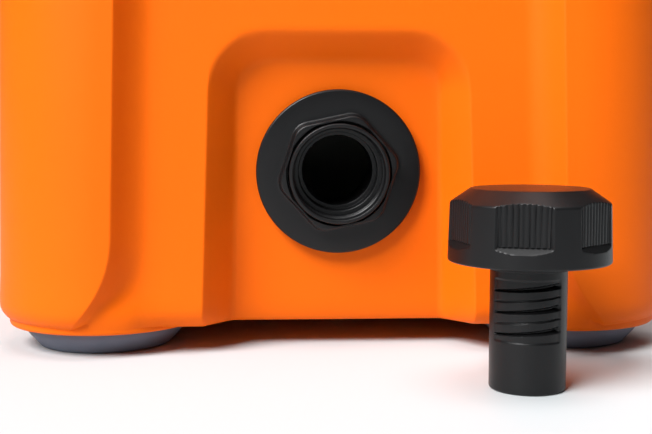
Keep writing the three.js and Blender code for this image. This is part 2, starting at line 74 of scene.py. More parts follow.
def meshFrom(name, verts, faces):
    # A mesh from an (n, 3) array of points and an (m, 4) array of corners; a corner given twice makes a
    # triangle.
    faces = np.asarray(faces)
    repeated = faces == np.roll(faces, -1, axis=1)
    keep = ~repeated
    counts = keep.sum(axis=1)
    good = counts >= 3
    faces, keep, counts = faces[good], keep[good], counts[good]
    loops = faces[keep]
    used, loops = np.unique(loops, return_inverse=True)
    verts = np.asarray(verts, float)[used]
    mesh = bpy.data.meshes.new(name)
    mesh.vertices.add(len(verts))
    mesh.vertices.foreach_set("co", verts.astype(np.float32).ravel())
    mesh.loops.add(len(loops))
    mesh.loops.foreach_set("vertex_index", loops.astype(np.int32).ravel())
    mesh.polygons.add(len(counts))
    starts = np.concatenate([[0], np.cumsum(counts)[:-1]])
    mesh.polygons.foreach_set("loop_start", starts.astype(np.int32))
    mesh.polygons.foreach_set("loop_total", counts.astype(np.int32))
    mesh.polygons.foreach_set("use_smooth", np.ones(len(counts), bool))
    mesh.update(calc_edges=True)
    mesh.validate()
    return mesh


def addPiece(name, points, faces, body, slotName, replaced, sharpDeg=35):
    # A finished piece: its mesh and finish, the body it rides on and the nodes it stands in for.
    mesh = meshFrom(name, points, faces)
    mesh.set_sharp_from_angle(angle=math.radians(sharpDeg))
    piece = bpy.data.objects.new(name, mesh)
    bpy.context.scene.collection.objects.link(piece)
    mesh.materials.append(materials[slotName])
    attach(piece, body)
    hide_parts(*replaced)
    return piece


def gridFaces(rows, columns, wrapRows=False, wrapColumns=True, offset=0):
    # Corners of the quads of a rows by columns grid, the last column or row joined to the first where it
    # wraps.
    index = np.arange(rows * columns).reshape(rows, columns) + offset
    if wrapRows:
        index = np.vstack([index, index[:1]])
    if wrapColumns:
        index = np.hstack([index, index[:, :1]])
    return np.stack([index[:-1, :-1], index[:-1, 1:], index[1:, 1:], index[1:, :-1]], axis=-1).reshape(-1, 4)


def collapse(faces, gone, kept):
    # The same faces with every corner in gone swapped for kept, which closes a pole.
    return np.where(np.isin(faces, gone), kept, faces)


def closePoles(faces, rows, columns, first=True, last=True):
    # A grid's faces with its first row, its last row or both drawn into one point.
    if first:
        faces = collapse(faces, np.arange(columns), 0)
    if last:
        end = (rows - 1) * columns
        faces = collapse(faces, end + np.arange(columns), end)
    return faces


def aroundAxis(radius, angle, z):
    # Points (radius cos a, radius sin a, z), one row for each z and one column for each angle a.
    return np.stack([radius * np.cos(angle), radius * np.sin(angle), z + 0 * angle], axis=-1).reshape(-1, 3)


def joinGrids(parts):
    # Several (points, faces) pairs as one.
    points, faces, offset = [], [], 0
    for partPoints, partFaces in parts:
        points.append(np.asarray(partPoints).reshape(-1, 3))
        faces.append(np.asarray(partFaces) + offset)
        offset += len(points[-1])
    return np.vstack(points), np.vstack(faces)


def rounded(corners, radii, stepDeg=9):
    # A path through the corners with each one turned into an arc of its radius: the arc starts and ends where
    # a circle of that radius touches both legs.
    corners = [np.asarray(c, float) for c in corners]
    path = [corners[0]]
    for before, corner, after, radius in zip(corners[:-2], corners[1:-1], corners[2:], radii):
        legIn = (before - corner) / np.linalg.norm(before - corner)
        legOut = (after - corner) / np.linalg.norm(after - corner)
        opening = math.acos(np.clip(legIn @ legOut, -1, 1))
        if radius <= 0 or abs(math.pi - opening) < 1e-3:
            path.append(corner)
            continue
        reach = radius / math.tan(opening / 2)
        middle = corner + (legIn + legOut) / np.linalg.norm(legIn + legOut) * radius / math.sin(opening / 2)
        start = corner + legIn * reach - middle
        finish = corner + legOut * reach - middle
        turn = math.atan2(start[0] * finish[1] - start[1] * finish[0], start @ finish)
        count = max(2, int(math.ceil(abs(math.degrees(turn)) / stepDeg)))
        angles = np.linspace(0, turn, count + 1)
        spin = np.stack([np.cos(angles) * start[0] - np.sin(angles) * start[1],
                         np.sin(angles) * start[0] + np.cos(angles) * start[1]], axis=1)
        path.extend(middle + spin)
    path.append(corners[-1])
    return np.array(path)


def turnedGrid(profile, segments, closed=False):
    # Points (r cos a, r sin a, z) for each (r, z) of the profile and each angle a round the axis. A profile
    # that starts or ends on the axis gets a pole there; a closed one runs back to its start.
    profile = np.asarray(profile, float)
    angles = np.linspace(0, tau, segments, endpoint=False)
    faces = gridFaces(len(profile), segments, wrapRows=closed)
    onAxis = [not closed and end < 1e-9 for end in (profile[0, 0], profile[-1, 0])]
    faces = closePoles(faces, len(profile), segments, *onAxis)
    return aroundAxis(profile[:, :1], angles, profile[:, 1:]), faces


def moved(points, offset):
    return np.asarray(points) + np.asarray(offset, float)


def onPlug(points):
    return moved(points, (*plugCentre, 0))


def onPort(points):
    # Points of the port's own frame (z along its axis, out of the tub) in the row frame.
    c, s = math.cos(port["tilt"]), math.sin(port["tilt"])
    x, y, z = np.asarray(points).T
    return np.stack([x, port["y"] - s * y - c * z, port["height"] + c * y - s * z], axis=1)


def ramp(t, startRound, endRound):
    # Rises from 0 to 1 as t does. Its slope climbs over startRound, stays level and falls over endRound, so
    # both ends of the wall are rounded.
    t = np.clip(t, 0, 1)
    height = 1 / (1 - startRound / 2 - endRound / 2)
    rise = np.where(t < startRound, height * t ** 2 / (2 * startRound), height * (t - startRound / 2))
    return np.where(t > 1 - endRound, 1 - height * (1 - t) ** 2 / (2 * endRound), rise)


print("frame read, port at", [round(float(v), 4) for v in (0, port["y"], port["height"])])


# Shader node groups. Each puts out values or colours that change over the surface.
def newGroup(name, inputs, outputs):
    group = bpy.data.node_groups.new(name, "ShaderNodeTree")
    for label, kind, value in inputs:
        socket = group.interface.new_socket(label, in_out="INPUT", socket_type=kind)
        if value is not None:
            socket.default_value = value
    for label, kind in outputs:
        group.interface.new_socket(label, in_out="OUTPUT", socket_type=kind)
    return group, group.nodes.new("NodeGroupInput"), group.nodes.new("NodeGroupOutput")


def mathNode(tree, operation, first, second=None, clamp=False):
    node = tree.nodes.new("ShaderNodeMath")
    node.operation = operation
    node.use_clamp = clamp
    for socket, value in zip(node.inputs, (first, second)):
        if isinstance(value, bpy.types.NodeSocket):
            tree.links.new(value, socket)
        elif value is not None:
            socket.default_value = value
    return node.outputs[0]


def mixColour(tree, factor, first, second, blend="MIX"):
    node = tree.nodes.new("ShaderNodeMix")
    node.data_type = "RGBA"
    node.blend_type = blend
    for socket, value in ((node.inputs["Factor"], factor), (node.inputs[6], first), (node.inputs[7], second)):
        if isinstance(value, bpy.types.NodeSocket):
            tree.links.new(value, socket)
        elif value is not None:
            socket.default_value = value
    return node.outputs[2]


def noiseNode(tree, vector, scale, detail=2.0, roughness=0.5):
    node = tree.nodes.new("ShaderNodeTexNoise")
    node.inputs["Detail"].default_value = detail
    node.inputs["Roughness"].default_value = roughness
    tree.links.new(vector, node.inputs["Vector"])
    if isinstance(scale, bpy.types.NodeSocket):
        tree.links.new(scale, node.inputs["Scale"])
    else:
        node.inputs["Scale"].default_value = scale
    return node.outputs["Fac"]


def makeMouldGrain():
    # Height: broad orange-peel waves, plus a share of a grain eight times finer.
    group, source, sink = newGroup(
        "mouldGrain",
        [("Vector", "NodeSocketVector", None), ("Scale", "NodeSocketFloat", 700.0), ("Fine", "NodeSocketFloat", 0.3)],
        [("Height", "NodeSocketFloat")])
    peel = noiseNode(group, source.outputs["Vector"], source.outputs["Scale"])
    fineScale = mathNode(group, "MULTIPLY", source.outputs["Scale"], 8.0)
    fine = noiseNode(group, source.outputs["Vector"], fineScale, 1.0)
    share = mathNode(group, "MULTIPLY", fine, source.outputs["Fine"])
    group.links.new(mathNode(group, "ADD", peel, share), sink.inputs["Height"])
    return group


def makeToneDrift():
    # Colour: the base with slow, cloudy changes towards a second colour. Factor: the same clouds.
    group, source, sink = newGroup(
        "toneDrift",
        [("Vector", "NodeSocketVector", None), ("Scale", "NodeSocketFloat", 9.0), ("Amount", "NodeSocketFloat", 0.3),
         ("Base", "NodeSocketColor", None), ("Second", "NodeSocketColor", None)],
        [("Color", "NodeSocketColor"), ("Factor", "NodeSocketFloat")])
    clouds = noiseNode(group, source.outputs["Vector"], source.outputs["Scale"], 4.0, 0.6)
    factor = mathNode(group, "MULTIPLY", clouds, source.outputs["Amount"], clamp=True)
    group.links.new(mixColour(group, factor, source.outputs["Base"], source.outputs["Second"]), sink.inputs["Color"])
    group.links.new(factor, sink.inputs["Factor"])
    return group


def makeHandling():
    # Roughness: the base, a little lower in soft smudges where hands have polished it, and higher in fine
    # dust.
    group, source, sink = newGroup(
        "handling",
        [("Vector", "NodeSocketVector", None), ("Base", "NodeSocketFloat", 0.5), ("Spread", "NodeSocketFloat", 0.1)],
        [("Roughness", "NodeSocketFloat")])
    smudge = noiseNode(group, source.outputs["Vector"], 26.0, 5.0, 0.65)
    centred = mathNode(group, "SUBTRACT", smudge, 0.5)
    swing = mathNode(group, "MULTIPLY", centred, source.outputs["Spread"])
    group.links.new(mathNode(group, "ADD", source.outputs["Base"], swing, clamp=True), sink.inputs["Roughness"])
    return group


groups = {"grain": makeMouldGrain(), "tone": makeToneDrift(), "handling": makeHandling()}


def linear(red, green, blue):
    # A colour given in 0 to 255 steps, as the linear values that shaders use.
    share = np.array([red, green, blue]) / 255
    value = np.where(share <= 0.04045, share / 12.92, ((share + 0.055) / 1.055) ** 2.4)
    return (*[float(v) for v in value], 1.0)


# One entry for each finish: colours, roughness, grain size in patterns per metre and grain depth in metres.
finishes = {
    "orange_plastic": {"base": linear(240, 105, 4), "second": linear(232, 96, 2), "amount": 0.5, "roughness": 0.52,
                       "spread": 0.10, "grain": 420, "fine": 0.35, "depth": 0.00012, "specular": 0.13},
    "pale_plastic": {"base": linear(226, 222, 212), "second": linear(205, 200, 188), "amount": 0.5, "roughness": 0.42,
                     "spread": 0.12, "grain": 380, "fine": 0.3, "depth": 0.0001, "specular": 0.45},
    "foam": {"base": linear(236, 214, 150), "second": linear(196, 160, 92), "amount": 0.8, "roughness": 0.95,
             "spread": 0.06, "grain": 900, "fine": 0.8, "depth": 0.0004, "specular": 0.2},
    "black_plastic": {"base": linear(17, 17, 18), "second": linear(24, 24, 25), "amount": 0.5, "roughness": 0.36,
                      "spread": 0.14, "grain": 2400, "fine": 0.6, "depth": 0.00003, "specular": 0.27},
    "black_rubber": {"base": linear(26, 26, 27), "second": linear(44, 43, 42), "amount": 0.5, "roughness": 0.78,
                     "spread": 0.16, "grain": 1500, "fine": 0.5, "depth": 0.00006, "specular": 0.3},
    "grey_rubber": {"base": linear(108, 113, 127), "second": linear(90, 95, 108), "amount": 0.5, "roughness": 0.74,
                    "spread": 0.14, "grain": 1300, "fine": 0.5, "depth": 0.00006, "specular": 0.35},
    "steel": {"base": linear(196, 198, 202), "second": linear(164, 166, 170), "amount": 0.5, "roughness": 0.3,
              "spread": 0.16, "grain": 1800, "fine": 0.4, "depth": 0.00002, "specular": 0.5, "metallic": 1.0},
}


bumpStrength = 0.6


def groupNode(tree, kind, place, labels, finish):
    # One of the groups above, with each input in labels set from the finish's value of that name.
    node = tree.nodes.new("ShaderNodeGroup")
    node.node_tree = groups[kind]
    for label, key in labels.items():
        node.inputs[label].default_value = finish[key]
    tree.links.new(place, node.inputs["Vector"])
    return node


def makeMaterial(name, finish):
    material = bpy.data.materials.new(name)
    material.use_nodes = True
    tree = material.node_tree
    shader = next(n for n in tree.nodes if n.type == "BSDF_PRINCIPLED")
    place = tree.nodes.new("ShaderNodeTexCoord").outputs["Object"]
    tone = groupNode(tree, "tone", place, {"Amount": "amount", "Base": "base", "Second": "second"}, finish)
    handling = groupNode(tree, "handling", place, {"Base": "roughness", "Spread": "spread"}, finish)
    grain = groupNode(tree, "grain", place, {"Scale": "grain", "Fine": "fine"}, finish)
    bump = tree.nodes.new("ShaderNodeBump")
    bump.inputs["Strength"].default_value = bumpStrength
    bump.inputs["Distance"].default_value = finish["depth"]
    tree.links.new(grain.outputs["Height"], bump.inputs["Height"])
    tree.links.new(tone.outputs["Color"], shader.inputs["Base Color"])
    tree.links.new(handling.outputs["Roughness"], shader.inputs["Roughness"])
    tree.links.new(bump.outputs["Normal"], shader.inputs["Normal"])
    shader.inputs["Specular IOR Level"].default_value = finish["specular"]
    shader.inputs["Metallic"].default_value = finish.get("metallic", 0.0)
    return material


materials = {name: makeMaterial(name, finish) for name, finish in finishes.items()}
print("materials ready:", ", ".join(materials))


# Outlines shared by the tub, its liner and the lid.
def stations(*stretches):
    # Places along a side from (start, end, step) stretches, each evenly divided, with the shared ends kept
    # once.
    runs = [np.linspace(a, b, max(1, int(round(abs(b - a) / step))) + 1)[:-1] for a, b, step in stretches]
    return np.concatenate(runs)


def squareOutline(half, radius, sideStations, angle):
    # Round-cornered square, walked anticlockwise from the front side's left end. For each point: its place,
    # its outward normal, the side it belongs to (0 front, 1 right, 2 back, 3 left) and how far along that
    # side it is, counted on round the corner arc.
    reach = half - radius
    places, normals, sides, alongs = [], [], [], []
    for side in range(4):
        along = sideStations[side] * reach
        x = np.concatenate([along, reach + radius * np.sin(angle)])
        y = np.concatenate([np.full(len(along), -half), -reach - radius * np.cos(angle)])
        nx = np.concatenate([0 * along, np.sin(angle)])
        ny = np.concatenate([0 * along - 1, -np.cos(angle)])
        late = np.concatenate([np.zeros(len(along), bool), angle > math.pi / 4])
        distance = np.concatenate([along, reach + radius * angle])
        distance = np.where(late, distance - 2 * reach - radius * math.pi / 2, distance)
        c, s = [(1, 0), (0, 1), (-1, 0), (0, -1)][side]
        places.append(np.stack([c * x - s * y, s * x + c * y], axis=1))
        normals.append(np.stack([c * nx - s * ny, s * nx + c * ny], axis=1))
        sides.append(np.where(late, (side + 1) % 4, side))
        alongs.append(distance)
    return np.vstack(places), np.vstack(normals), np.concatenate(sides), np.concatenate(alongs)


def insideRound(sideRoom, topRoom, radius):
    # How far inside a corner-rounded outline a point is, from its room to the side and to the top.
    qx, qy = radius - sideRoom, radius - topRoom
    return radius - (np.hypot(np.maximum(qx, 0), np.maximum(qy, 0)) + np.minimum(np.maximum(qx, qy), 0))


panel = {"depth": 0.012, "run": 0.017, "edgeLow": 0.1095, "edgeHigh": 0.1045, "top": 0.407, "flareFrom": 0.062,
         "flare": 0.0222, "flareCurve": 2.4, "cornerRadius": 0.036}
skirt = {"radius": 0.0488, "centre": 0.119, "low": 0.019, "high": 0.040, "roundCut": 0.85,
         "soft": 0.003}
columnWarp = {"archEdge": 0.0660, "fixed": 0.0760, "panelEdge": 0.1045}
arch = {"edgeLow": 0.0672, "edgeSlope": 0.024, "run": 0.0150, "aboveFloor": 0.1570, "cornerRadius": 0.029}
grip = {"half": 0.067, "low": 0.347, "high": 0.405, "depth": 0.032, "run": 0.006, "cornerRadius": 0.010}


def shrinkAt(z):
    return 1 - (z - tub["bottom"]) * math.tan(tub["draft"]) / tub["half"]


def panelEdge(z):
    # Half width of the panel: it narrows slowly upwards, and flares out towards the foot as a power of the drop.
    climb = np.clip((z - panel["flareFrom"]) / (panel["top"] - panel["flareFrom"]), 0, 1)
    drop = np.clip((panel["flareFrom"] - z) / (panel["flareFrom"] - tub["bottom"]), 0, 1.2)
    return panel["edgeLow"] + (panel["edgeHigh"] - panel["edgeLow"]) * climb + panel["flare"] * drop ** panel["flareCurve"]


def archEdge(z):
    return arch["edgeLow"] - arch["edgeSlope"] * (z - tub["bottom"])


def tubDepth(side, along, z):
    # How far the tub's wall lies in from its plain outline: the panel between the columns, the tilted floor
    # of the arch on the front and the hand grips on the sides. Also gives the share of the bottom edge's
    # rounding that is left out there, 0 on the plain wall.
    away = np.abs(along)
    room = insideRound(panelEdge(z) - away, panel["top"] - z, panel["cornerRadius"])
    depth = panel["depth"] * ramp(room / panel["run"], 0.05, 0.8)
    bossReach = np.sqrt(np.maximum(skirt["radius"] ** 2 - (away - skirt["centre"]) ** 2, 0))
    bossDepth = tub["half"] - skirt["centre"] - bossReach
    overlap = depth - bossDepth
    stepOut = (overlap + np.sqrt(overlap ** 2 + skirt["soft"] ** 2)) / 2
    depth = depth - stepOut * ramp((skirt["high"] - z) / (skirt["high"] - skirt["low"]), 0.6, 0.4)
    floorY = tubCentre[1] - port["y"] + (z - port["height"]) * math.tan(port["tilt"])
    floorDepth = tub["half"] - floorY / shrinkAt(z)
    archRoom = insideRound(archEdge(z) - away, arch["aboveFloor"] - z, arch["cornerRadius"])
    archShare = np.where(side == 0, ramp(archRoom / arch["run"], 0.06, 0.14), 0)
    depth = depth + (floorDepth - depth) * archShare
    gripRoom = np.minimum(insideRound(grip["half"] - away, grip["high"] - z, grip["cornerRadius"]),
                          insideRound(grip["half"] - away, z - grip["low"], grip["cornerRadius"]))
    gripShare = ramp(gripRoom / grip["run"], 0.35, 0.35)
    roundCut = np.maximum(tub["archRoundCut"] * archShare, skirt["roundCut"] * ramp(stepOut / 0.004, 0.4, 0.4))
    return np.where(side % 2 == 1, depth + (grip["depth"] - depth) * gripShare, depth), roundCut


def tubRing(side, reference, z, inset):
    # One ring of the tub's outer wall: the outline moved in by its depth and the inset, then leaned in. The
    # columns are shifted along it so that one of them keeps to the arch's edge and one to the panel's.
    w = columnWarp
    low = min(z, arch["aboveFloor"])
    fixed = [0, 0.030, w["archEdge"], w["fixed"], w["panelEdge"], cornerMiddle]
    shifted = [0, 0.030, archEdge(low), w["fixed"], panelEdge(z), cornerMiddle]
    along = np.sign(reference) * np.interp(np.abs(reference), fixed, shifted)
    places, normals = outlineAt(tub["half"], tub["cornerRadius"], side, along)
    depth, roundCut = tubDepth(side, along, z)
    depth = depth + inset * (1 - roundCut)
    ring = (places - normals * depth[:, None]) * shrinkAt(z) + tubCentre
    return np.column_stack([ring, np.full(len(ring), z)])


cornerMiddle = tub["half"] - tub["cornerRadius"] + tub["cornerRadius"] * math.pi / 4


def outlineAt(half, radius, side, along):
    # Places and outward normals on the round-cornered square for each side number and distance along it.
    reach = half - radius
    turn = np.maximum(np.abs(along) - reach, 0) / radius
    x = np.sign(along) * (np.minimum(np.abs(along), reach) + radius * np.sin(turn))
    y = -half + radius * (1 - np.cos(turn))
    nx, ny = np.sign(along) * np.sin(turn), -np.cos(turn)
    c, s = np.array([1, 0, -1, 0])[side], np.array([0, 1, 0, -1])[side]
    return np.column_stack([c * x - s * y, s * x + c * y]), np.column_stack([c * nx - s * ny, s * nx + c * ny])


def withPortHole(points, rowSpan, columnSpan, circles):
    # A grid closed at its first row, with a window of it swapped for rings that run from the window's edge
    # through circles round the port's axis. Each circle is a (radius, place on the axis), and its points lie
    # in the same directions as the edge's points.
    r0, r1 = rowSpan
    c0, c1 = columnSpan
    rows, columns = points.shape[:2]
    index = np.arange(rows * columns).reshape(rows, columns)
    loop = np.concatenate([index[r0, c0:c1], index[r0:r1, c1], index[r1, c1:c0:-1], index[r1:r0:-1, c0]])
    edge = points.reshape(-1, 3)[loop]
    up = np.array([0, -math.sin(port["tilt"]), math.cos(port["tilt"])])
    origin = np.array([0, port["y"], port["height"]])
    angle = np.arctan2((edge - origin) @ up, edge[:, 0])
    rings = [onPort(np.column_stack([radius * np.cos(angle), radius * np.sin(angle), np.full(len(angle), place)]))
             for radius, place in circles]
    count = len(loop)
    ids = np.vstack([loop, rows * columns + np.arange(len(rings) * count).reshape(-1, count)])
    ids = np.hstack([ids, ids[:, :1]])
    patch = np.stack([ids[:-1, :-1], ids[:-1, 1:], ids[1:, 1:], ids[1:, :-1]], axis=-1).reshape(-1, 4)
    keep = np.ones((rows - 1, columns), bool)
    keep[r0:r1, c0:c1] = False
    faces = gridFaces(rows, columns).reshape(rows - 1, columns, 4)[keep]
    faces = closePoles(faces, rows, columns, last=False)
    return np.vstack([points.reshape(-1, 3), *rings]), np.vstack([faces, patch])


def nearest(values, target):
    return int(np.argmin(np.abs(values - target)))


def withThickness(piece, thickness):
    wall = piece.modifiers.new("wall", "SOLIDIFY")
    wall.thickness = thickness
    wall.offset = -1


def buildTubSkin():
    window = 0.027
    right = stations((0, window, 0.0054), (window, 0.050, 0.0046), (0.050, 0.0650, 0.0016), (0.0650, 0.0672, 0.0005),
                     (0.0672, 0.0760, 0.0022), (0.0760, 0.0880, 0.0060), (0.0880, 0.1035, 0.0017),
                     (0.1035, 0.1055, 0.0005), (0.1055, 0.1200, 0.0024), (0.1200, cornerMiddle, 0.0058))
    alongSide = np.concatenate([[-cornerMiddle], -right[:0:-1], right])
    side = np.repeat(np.arange(4), len(alongSide))
    reference = np.tile(alongSide, 4)
    low = tub["bottom"] + tub["bottomRound"]
    high = tub["top"] - tub["rimRound"]
    heights = stations((low, port["height"] - window, 0.0026), (port["height"] - window, port["height"] + window, 0.006),
                       (port["height"] + window, 0.160, 0.0021), (0.160, 0.340, 0.022), (0.340, 0.356, 0.0016),
                       (0.356, 0.366, 0.005), (0.366, 0.412, 0.0024), (0.412, high, 0.006))
    heights = np.append(heights, high)
    turn = np.linspace(0, math.pi / 2, 7)[:-1]
    lowZ = tub["bottom"] + tub["bottomRound"] * (1 - np.cos(turn))
    lowInset = tub["bottomRound"] * (1 - np.sin(turn))
    lip = np.linspace(0, math.pi / 2, 5)[1:]
    lipZ = high + tub["rimRound"] * np.sin(lip)
    lipInset = tub["rimRound"] * (1 - np.cos(lip))
    z = np.concatenate([lowZ, heights, lipZ])
    inset = np.concatenate([lowInset, 0 * heights, lipInset])
    wall = np.stack([tubRing(side, reference, a, b) for a, b in zip(z, inset)])
    centre = np.array([*tubCentre, tub["bottom"]])
    floor = np.stack([centre + (wall[0] - centre) * share for share in (0, 0.45, 0.8, 0.93)])
    points = np.concatenate([floor, wall])
    rowSpan = [len(floor) + nearest(z, port["height"] + sign * window) for sign in (-1, 1)]
    columnSpan = [nearest(alongSide, sign * window) for sign in (-1, 1)]
    points, faces = withPortHole(points, rowSpan, columnSpan, [(port["holeRadius"] + skinGap, 0.0)])
    piece = addPiece("tub_shell_skin", points, faces, "tub", "orange_plastic", ["tub_outer_shell"], 75)
    withThickness(piece, tub["wall"] - skinGap)


footNames = ["front_left", "front_right", "back_left", "back_right"]
boss = {"radius": 0.0484, "low": 0.0116, "high": 0.0180, "round": 0.0016}
footShape = {"radius": 0.0402, "bottomRadius": 0.0334, "top": 0.0112, "bowl": 0.0080, "edge": 0.0028,
             "holeRadius": 0.0060, "shankRadius": 0.0030, "headSeat": 0.0063, "grooveRadius": 0.024,
             "grooveDepth": 0.0012}


def footCentres():
    # Each foot's name and the middle of its footprint on the floor.
    for name in footNames:
        low, high = nodeBox("foot_" + name)
        yield name, (low + high) / 2 * [1, 1, 0]


def buildFeet():
    parts = []
    for name, centre in footCentres():
        profile = rounded([(0, boss["low"]), (boss["radius"], boss["low"]), (boss["radius"], boss["high"]),
                           (0, boss["high"])], [boss["round"], 0])
        points, faces = turnedGrid(profile, 96)
        parts.append((moved(points, centre), faces))
    addPiece("tub_foot_bosses", *joinGrids(parts), "tub", "orange_plastic", ["tub_outer_shell"])
    for name, centre in footCentres():
        f = footShape
        r, g = f["radius"], f["grooveRadius"]
        profile = rounded([
            (f["shankRadius"], f["headSeat"]), (f["holeRadius"], f["headSeat"]), (f["holeRadius"], 0), (g - 0.002, 0),
            (g - 0.0012, f["grooveDepth"]), (g + 0.0012, f["grooveDepth"]), (g + 0.002, 0),
            (f["bottomRadius"], 0), (r, f["bowl"]), (r, f["top"]), (f["shankRadius"], f["top"]),
            (f["shankRadius"], f["headSeat"])],
            [0, 0.0008, 0.0004, 0.0003, 0.0003, 0.0004, f["edge"], 0.004, 0.0006, 0], 15)
        points, faces = turnedGrid(profile[:-1], 112, closed=True)
        addPiece("foot_pad_" + name, moved(points, centre), faces, "tub", "grey_rubber", ["foot_" + name])
        low, high = nodeBox("foot_screw_" + name)
        headRadius = (high[0] - low[0]) / 2
        profile = rounded([(0, low[2] + 0.0012), (0.0022, low[2] + 0.0012), (0.0026, low[2]), (headRadius, low[2]),
                           (headRadius, low[2] + 0.003), (0.0025, low[2] + 0.003), (0.0025, high[2] - 0.002),
                           (0, high[2])], [0.0002, 0.0002, 0.0012, 0.0004, 0, 0.0004], 15)
        points, faces = turnedGrid(profile, 48)
        addPiece("foot_screw_body_" + name, moved(points, centre), faces, "tub", "steel", ["foot_screw_" + name])


nut = {"back": 0.0026, "rim": 0.0406, "face": 0.0062, "rimThick": 0.0031, "hexFront": 0.013, "hexFlat": 0.02684,
       "hexCorner": 0.0206, "hexRound": 0.009, "turn": math.radians(12), "hole": 0.0257, "seat": 0.0076,
       "collar": 0.0248}


def hexRadius(angle):
    # Radius of a round-cornered hexagon in a direction: the corner's arc near a corner, the flat between
    # them.
    near = (angle - nut["turn"] + math.pi / 6) % (math.pi / 3) - math.pi / 6
    corner, round_ = nut["hexCorner"], nut["hexRound"]
    arc = corner * np.cos(near) + np.sqrt(np.maximum(round_ ** 2 - (corner * np.sin(near)) ** 2, 0))
    flat = nut["hexFlat"] / np.cos(np.abs(near) - math.pi / 6)
    arcEnd = math.atan2(round_ / 2, corner + round_ * math.cos(math.pi / 6))
    return np.where(np.abs(near) < arcEnd, arc, flat)


def buildPortNut():
    n = nut
    rim = rounded([(n["collar"], n["back"]), (n["rim"], n["back"]), (n["rim"], n["back"] + n["rimThick"]),
                   (0.0345, n["face"])], [0.0007, 0.0012], 12)
    hexSide = rounded([(0.0030, n["face"]), (0.0, n["face"]), (-0.0006, n["hexFront"]), (-0.003, n["hexFront"])],
                      [0.0014, 0.0011], 12)
    mouth = rounded([(n["hole"] + 0.0004, n["hexFront"]), (n["hole"], n["hexFront"]), (n["hole"], n["seat"]),
                     (n["collar"], n["seat"]), (n["collar"], n["back"])], [0.0003, 0.0004, 0.0003], 20)
    hexSide = hexSide[:-1]
    segments = 288
    angle = np.linspace(0, tau, segments, endpoint=False)
    radius = np.concatenate([
        np.repeat(rim[:, :1], segments, axis=1), hexRadius(angle) + hexSide[:, :1],
        np.repeat(mouth[:-1, :1], segments, axis=1)])
    z = np.concatenate([rim[:, 1], hexSide[:, 1], mouth[:-1, 1]])[:, None]
    faces = gridFaces(len(z), segments, wrapRows=True)
    addPiece("port_nut_body", onPort(aroundAxis(radius, angle, z)), faces, "tub", "black_plastic",
             ["port_flange_nut"], 50)


tube = {"outer": 0.0245, "mouth": 0.0225, "proud": 0.016, "step": 0.003, "stepRadius": 0.0196, "bore": 0.0176,
        "boreFrom": -0.004, "flange": 0.033, "flangeThick": 0.005, "wallFace": -0.0280, "pitch": 0.0034,
        "ridge": 0.0008, "threadTop": 0.0125, "fade": 0.002}


def buildPortTube():
    # The tube's closed outline turned round the port's axis. In its mouth the wall carries a helical ridge:
    # the radius falls by a share of the ridge height that depends on height plus turn.
    t = tube
    outer = rounded([(t["bore"], t["wallFace"] - t["flangeThick"]), (t["flange"], t["wallFace"] - t["flangeThick"]),
                     (t["flange"], t["wallFace"]), (t["outer"], t["wallFace"]), (t["outer"], t["proud"]),
                     (t["mouth"], t["proud"]), (t["mouth"], t["proud"] - 0.001)],
                    [0.0012, 0.0012, 0.0004, 0.0007, 0.0006], 15)
    threadZ = np.linspace(t["proud"] - 0.0012, t["step"] + 0.0006, 56)
    thread = np.column_stack([np.full(len(threadZ), t["mouth"]), threadZ])
    inner = rounded([(t["mouth"], t["step"] + 0.0004), (t["mouth"], t["step"]), (t["stepRadius"], t["step"]),
                     (t["stepRadius"], t["boreFrom"]), (t["bore"], t["boreFrom"]),
                     (t["bore"], t["wallFace"] - t["flangeThick"] + 0.0002)],
                    [0.0002, 0.0006, 0.0002, 0.0004], 15)
    profile = np.vstack([outer, thread, inner])
    segments = 160
    angle = np.linspace(0, tau, segments, endpoint=False)
    z = profile[:, 1:]
    phase = (z / t["pitch"] + angle / tau) % 1
    inMouth = np.clip((z - t["step"]) / t["fade"], 0, 1) * np.clip((t["threadTop"] - z) / t["fade"], 0, 1)
    inMouth = inMouth * (np.abs(profile[:, :1] - t["mouth"]) < 1e-5)
    ridge = t["ridge"] * ramp(1.6 * np.clip(1 - np.abs(2 * phase - 1) * 1.5, 0, 1), 0.3, 0.3)
    radius = profile[:, :1] - ridge * inMouth
    faces = gridFaces(len(profile), segments, wrapRows=True)
    addPiece("port_tube_body", onPort(aroundAxis(radius, angle, z)), faces, "tub", "black_plastic",
             ["port_bulkhead_tube"], 50)


def buildPortGaskets():
    for name, node, outer, back, front in (
            ("port_outer_seal", "port_outer_gasket", 0.037, 0.0003, 0.0023),
            ("port_inner_seal", "port_inner_gasket", 0.032, tube["wallFace"] + 0.0003, tube["wallFace"] + 0.0023)):
        hole = tube["outer"] + 0.0003
        profile = rounded([(hole, back), (outer, back), (outer, front), (hole, front), (hole, back)],
                          [0.0009, 0.0009, 0.0], 20)
        points, faces = turnedGrid(profile[:-1], 96, closed=True)
        addPiece(name, onPort(points), faces, "tub", "black_rubber", [node])


cap = {"low": 0.0547, "rim": 0.0344, "shoulder": 0.0336, "top": 0.0856, "topRadius": 0.0250, "chamfer": 0.0060,
       "edge": 0.0009, "grips": 6, "gripTurn": math.radians(-107.3), "gripHalf": 0.0112, "flat": 0.0311,
       "ledgeHigh": 0.0088, "ribs": 0.00235, "ribHeight": 0.00055}


